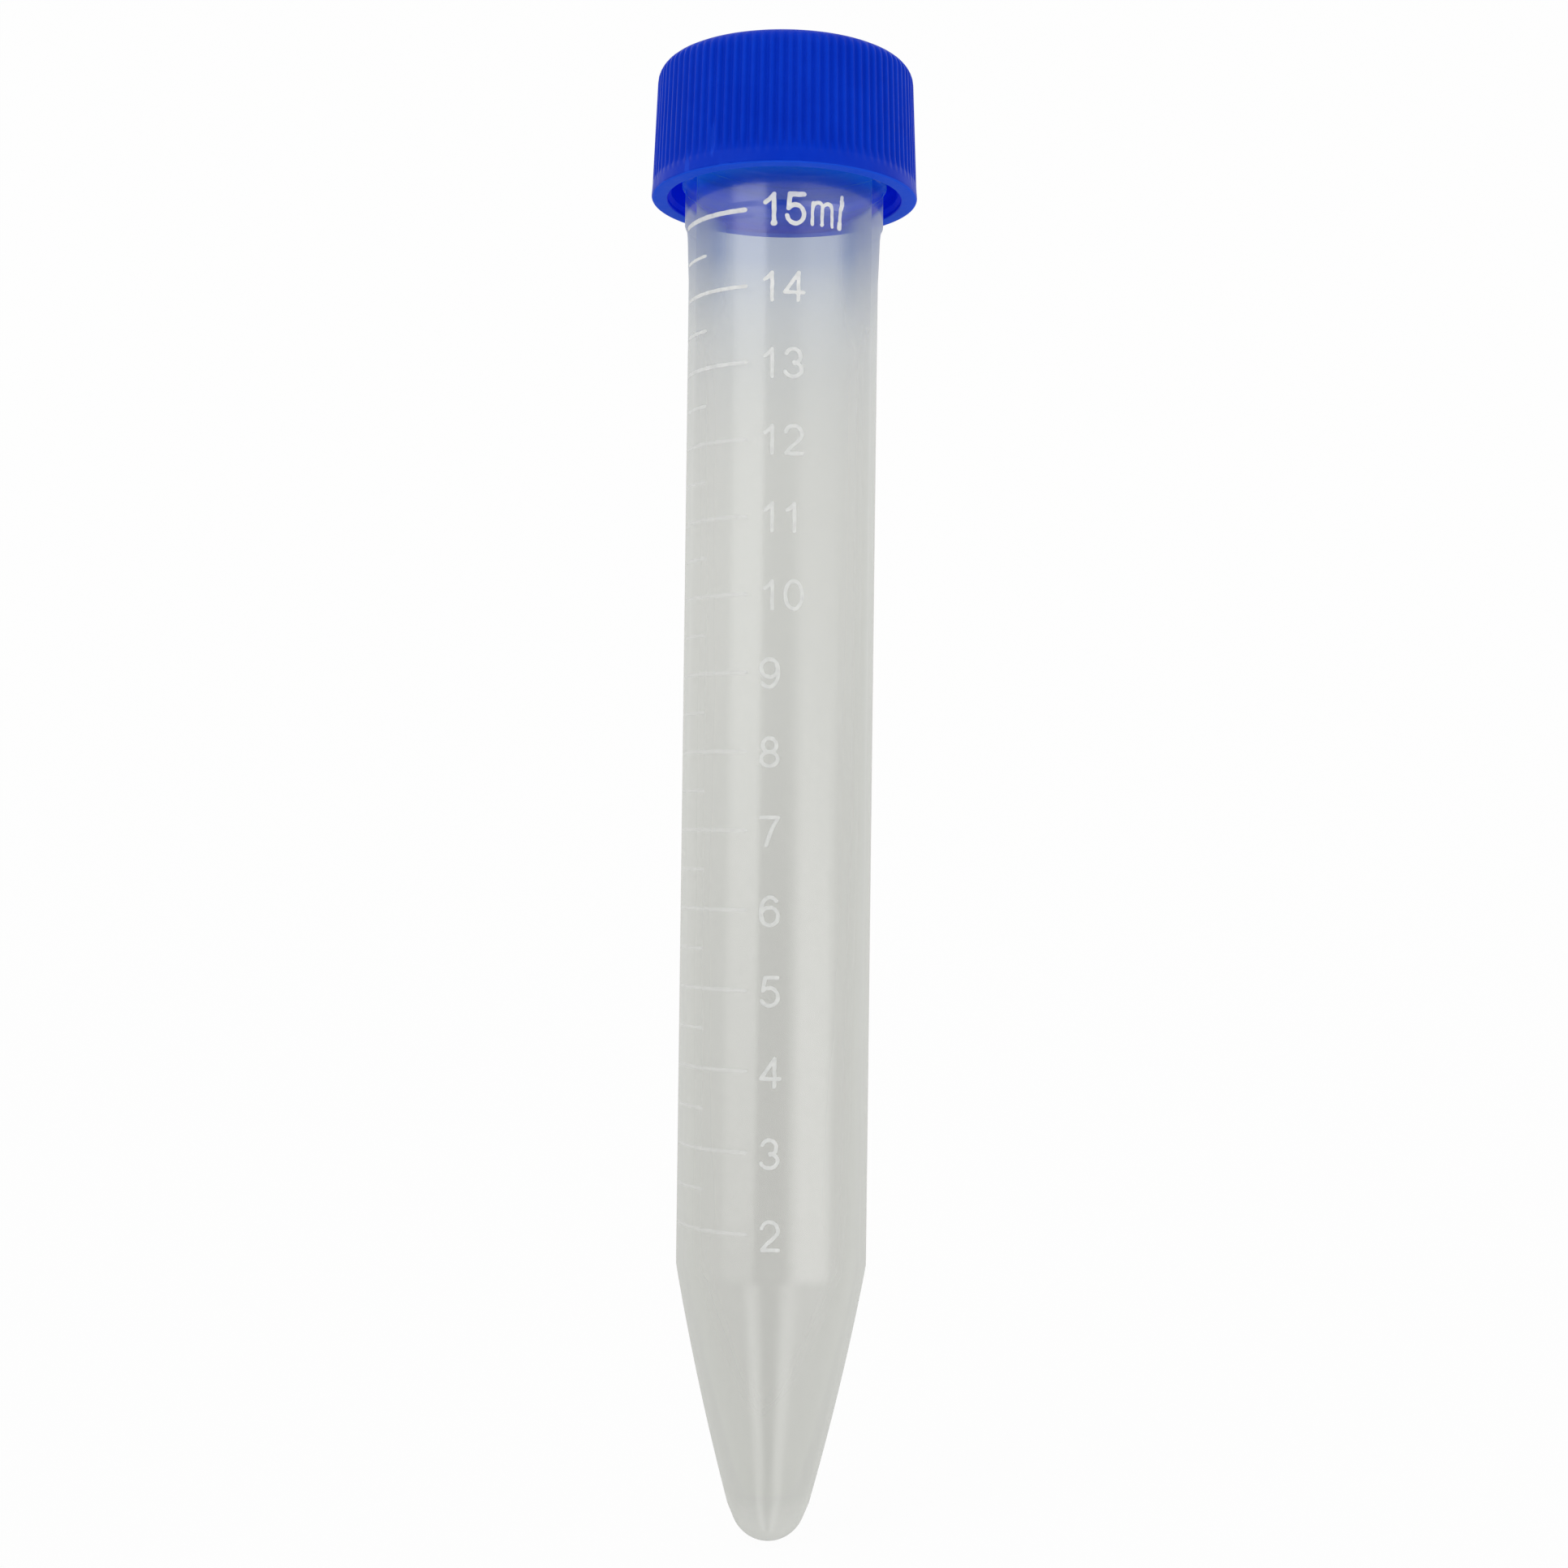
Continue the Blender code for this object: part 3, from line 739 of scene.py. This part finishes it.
def matt(nodes, colour, roughness, normal):
    inputs = {"Base Color": colour, "Roughness": roughness, "Normal": normal}
    return nodes.add("BsdfPrincipled", inputs).outputs[0]


def liner_material():
    material, nodes = new_material("white_liner_foam")
    inputs = {"Vector": nodes.position(), "Scale": 3500.0}
    cells = nodes.add("TexVoronoi", inputs).outputs["Distance"]
    colour = nodes.ramp(cells, over=(0.0, 0.6), to=((0.70, 0.70, 0.68), (0.84, 0.84, 0.82)))
    normal = nodes.bump(cells, strength=0.3, distance=0.00005)
    nodes.add("OutputMaterial", {"Surface": matt(nodes, colour, 0.65, normal)})
    return material


def ink_material():
    material, nodes = new_material("white_screen_ink")
    span = nodes.span
    position = nodes.position()
    density = nodes.noise(position, Scale=1500.0, Detail=3.0, Roughness=0.6)
    colour = nodes.ramp(density, over=(0.3, 0.7), to=((0.86, 0.87, 0.87), (0.95, 0.955, 0.955)))
    normal = nodes.bump(density, strength=0.2, distance=0.00002)
    cover = nodes.ramp(density, over=(0.25, 0.6), to=(0.84, 0.97))
    # the ticks left of the numbers are thinner over most of the height
    x, _, z = nodes.split(position)
    height = nodes.times(z, TO_MM)
    unskew = nodes.times(nodes.maths('SUBTRACT', height, MIDDLE), -SKEW)
    aside = nodes.scaled(x, by=TO_MM, plus=unskew)
    number = nodes.maths('MAXIMUM',
                         span(height, over=(TIP + 86.0, TIP + 103.0), to=(0.40, 1.0)),
                         span(height, over=(TIP + 52.0, TIP + 26.0), to=(0.40, 0.52)))
    mark = span(height, over=(TIP + 86.0, TIP + 104.0), to=(0.20, 0.95))
    is_number = span(aside, over=(-2.20, -2.00))
    layer = nodes.add("Mix", {"Factor": is_number, "A": mark, "B": number}).outputs["Result"]
    printed = nodes.mix_shader(nodes.times(cover, layer), nodes.shader("BsdfTransparent"),
                               matt(nodes, colour, 0.55, normal))
    nodes.add("OutputMaterial", {"Surface": printed})
    return material


tube.data.materials.append(tube_material())
cap.data.materials.append(cap_material())
liner.data.materials.append(liner_material())
ink.data.materials.append(ink_material())

# ---------------------------------------------------------------- studio
PLAIN = (1.0, 1.0, 1.0, 1.0)
BEHIND_LOW, BEHIND_HIGH = (0.47, 0.465, 0.455, 1.0), (0.70, 0.71, 0.69, 1.0)
SURROUND = 0.71                        # strength of the whole surround
LEFT, LEFT_LOW = 1.35, 0.3             # left window, and its share low down
RIGHT, RIGHT_HIGH = 1.9, 0.08          # right window, and its share high up
STRIPS = 1.8                           # two strips near the floor
GAP, GAP_HIGH = 0.82, 0.25             # light taken out round the camera, low and high
LIGHT_COLOUR = (1.0, 1.0, 0.985, 1.0)
TO_DEGREES = 180.0 / math.pi


def backdrop_colour(nodes, path, rise):
    """Pale when seen directly, grey through the tube's wall and darker lower down; rise is the
    sine of the ray's elevation."""
    behind = nodes.maths('MINIMUM', path["Transparent Depth"], 1.0)
    grey = nodes.mix(nodes.span(rise, over=(-0.32, 0.12), smooth=False), BEHIND_LOW, BEHIND_HIGH)
    return nodes.mix(behind, PLAIN, grey)


def sweep():
    """A pale floor that curves up behind the object, in metres."""
    half_width, bend = 2.0, 0.5
    profile = [(-1.2, 0.0), (bend, 0.0)]
    for degrees in range(5, 91, 5):
        angle = math.radians(degrees)
        profile.append((bend + bend * math.sin(angle), bend - bend * math.cos(angle)))
    profile += [(1.0, 1.6)]
    verts = [(x, y, z) for y, z in profile for x in (-half_width, half_width)]
    faces = [(2 * i, 2 * i + 1, 2 * i + 3, 2 * i + 2) for i in range(len(profile) - 1)]
    mesh = bpy.data.meshes.new("pale_sweep")
    mesh.from_pydata(verts, [], faces)
    mesh.shade_smooth()
    obj = link_object("pale_sweep", mesh)

    material, nodes = new_material("pale_paper")
    incoming = nodes.add("NewGeometry").outputs["Incoming"]
    rise = nodes.times(nodes.split(incoming)["Z"], -1.0)
    colour = backdrop_colour(nodes, nodes.add("LightPath").outputs, rise)
    paper = nodes.shader("BsdfDiffuse", Color=(0.9, 0.9, 0.9, 1.0))
    glow = nodes.shader("Emission", Color=colour)
    nodes.add("OutputMaterial", {"Surface": nodes.mix_shader(0.95, paper, glow)})
    mesh.materials.append(material)
    obj.location.z = TIP * MM - 0.0002
    # the paper is only looked at: light comes from the surround
    obj.visible_diffuse = False
    obj.visible_glossy = False
    obj.visible_transmission = False
    obj.visible_shadow = False
    return obj


sweep()


def surround():
    """Even light with a dark gap round the camera and a tall window on each side. Directions are
    degrees: turn from the camera's side (-y) towards +x, and rise above the horizon."""
    world = bpy.data.worlds.new("studio")
    bpy.context.scene.world = world
    world.use_nodes = True
    nodes = Nodes(world.node_tree)
    times, plus, span = nodes.times, nodes.plus, nodes.span
    x, y, z = nodes.split(nodes.add("TexCoord").outputs["Generated"])
    turn = times(nodes.maths('ARCTAN2', x, times(y, -1.0)), TO_DEGREES)
    rise = times(nodes.maths('ARCSINE', z), TO_DEGREES)

    def window(start, end, soft):
        """A band of turn; soft is half the fade at its start and at its end."""
        up = span(turn, over=(start - soft[0], start + soft[0]))
        down = span(turn, over=(end - soft[1], end + soft[1]), to=(1.0, 0.0))
        return times(up, down)

    low = span(rise, over=(-34.0, -20.0))                   # 0 well below the horizon
    left = times(window(-61.0, -21.0, soft=(6.0, 3.0)),
                 span(rise, over=(-16.0, 2.0), to=(LEFT_LOW, 1.0)), low, LEFT)
    right = times(window(27.0, 75.0, soft=(9.0, 4.0)),
                  span(rise, over=(-7.0, 10.0), to=(1.0, RIGHT_HIGH)), low, RIGHT)
    near_floor = span(rise, over=(-22.0, -38.0))
    strips = plus(window(-36.0, -14.0, soft=(5.0, 4.0)), window(12.0, 36.0, soft=(5.0, 6.0)))
    strips = times(strips, near_floor, STRIPS)
    gap = times(window(-21.0, 19.0, soft=(3.0, 7.0)),
                span(rise, over=(18.0, -4.0), to=(GAP_HIGH, GAP)))
    even = nodes.maths('SUBTRACT', span(rise, over=(-36.0, -18.0), to=(0.72, 1.0)), gap)
    light = times(plus(plus(even, left), plus(right, strips)), SURROUND)
    path = nodes.add("LightPath").outputs
    seen = nodes.shader("Background", Color=backdrop_colour(nodes, path, z))
    lamp = nodes.shader("Background", Color=LIGHT_COLOUR, Strength=light)
    nodes.add("OutputWorld", {"Surface": nodes.mix_shader(path["Is Camera Ray"], lamp, seen)})


surround()

CAMERA_X, CAMERA_DISTANCE, CAMERA_Z = 0.577, 180.96, TIP + 57.47
PITCH, LEAN = 0.0236, 0.0125           # radians: tilt up, and turn about the line of sight
camera_data = bpy.data.cameras.new("camera")
camera = link_object("camera", camera_data)
camera_data.sensor_width = 36.0
camera_data.lens = 50.437267
camera_data.clip_start = 0.01
camera.location = (CAMERA_X * MM, -CAMERA_DISTANCE * MM, CAMERA_Z * MM)
tilted = Matrix.Rotation(math.radians(90.0) + PITCH, 3, 'X')
camera.rotation_euler = (tilted @ Matrix.Rotation(LEAN, 3, 'Z')).to_euler()

scene = bpy.context.scene
scene.camera = camera
scene.view_settings.view_transform = 'Standard'
scene.view_settings.look = 'None'
